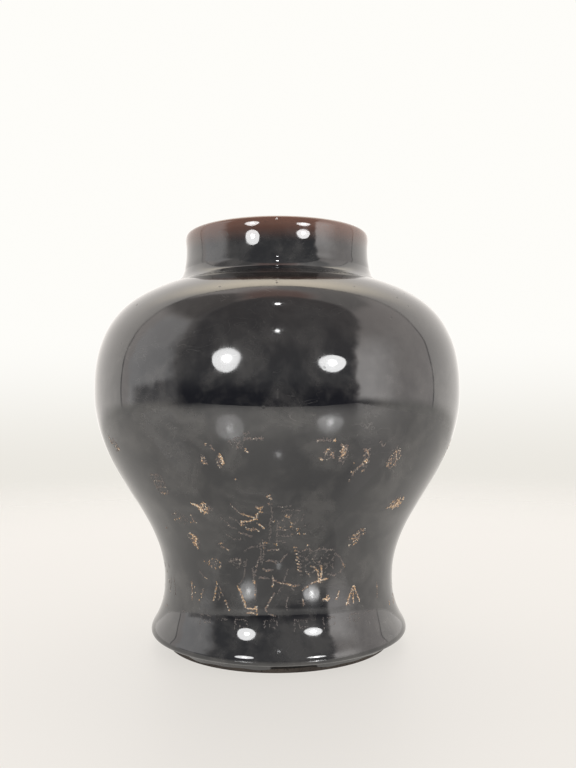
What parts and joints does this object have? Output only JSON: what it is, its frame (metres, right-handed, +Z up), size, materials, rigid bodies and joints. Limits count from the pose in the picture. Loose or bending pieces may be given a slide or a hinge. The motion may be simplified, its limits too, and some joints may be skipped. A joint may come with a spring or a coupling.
{
  "type": "baluster jar",
  "caption": "Open glazed clay baluster jar with a short straight neck, a wide belly, a flared foot and worn gilt decoration.",
  "frame": {"origin": "on the jar's axis, in the plane that the foot ring stands on", "axes": "+Z up along the jar's axis, -Y towards the main gilt decoration"},
  "size_m": [0.2506, 0.2506, 0.28],
  "materials": {
    "clay": "bare fired stoneware",
    "slip": "bare fired slip",
    "glaze": "gloss black, brown where thin",
    "inner_glaze": "gloss brown-black",
    "gilt": "worn gilding"
  },
  "bodies": {
    "root": {"foot_section": "clay", "base_disc": "clay", "base_slip_joint": "slip", "foot_slip_joint": "slip", "lower_body": "clay", "belly_slip_joint": "slip", "shoulder_dome": "clay", "neck_slip_joint": "slip", "neck_collar": "clay", "inner_glaze": "inner_glaze", "outer_glaze": "glaze", "gilt_serpent_belly": "gilt", "gilt_serpent_scales": "gilt", "gilt_claws": "gilt", "gilt_cloud_wisps": "gilt", "gilt_medallions": "gilt", "gilt_blossom_sprigs": "gilt", "gilt_peak_border": "gilt", "gilt_fret_border": "gilt"}
  },
  "joints": []
}
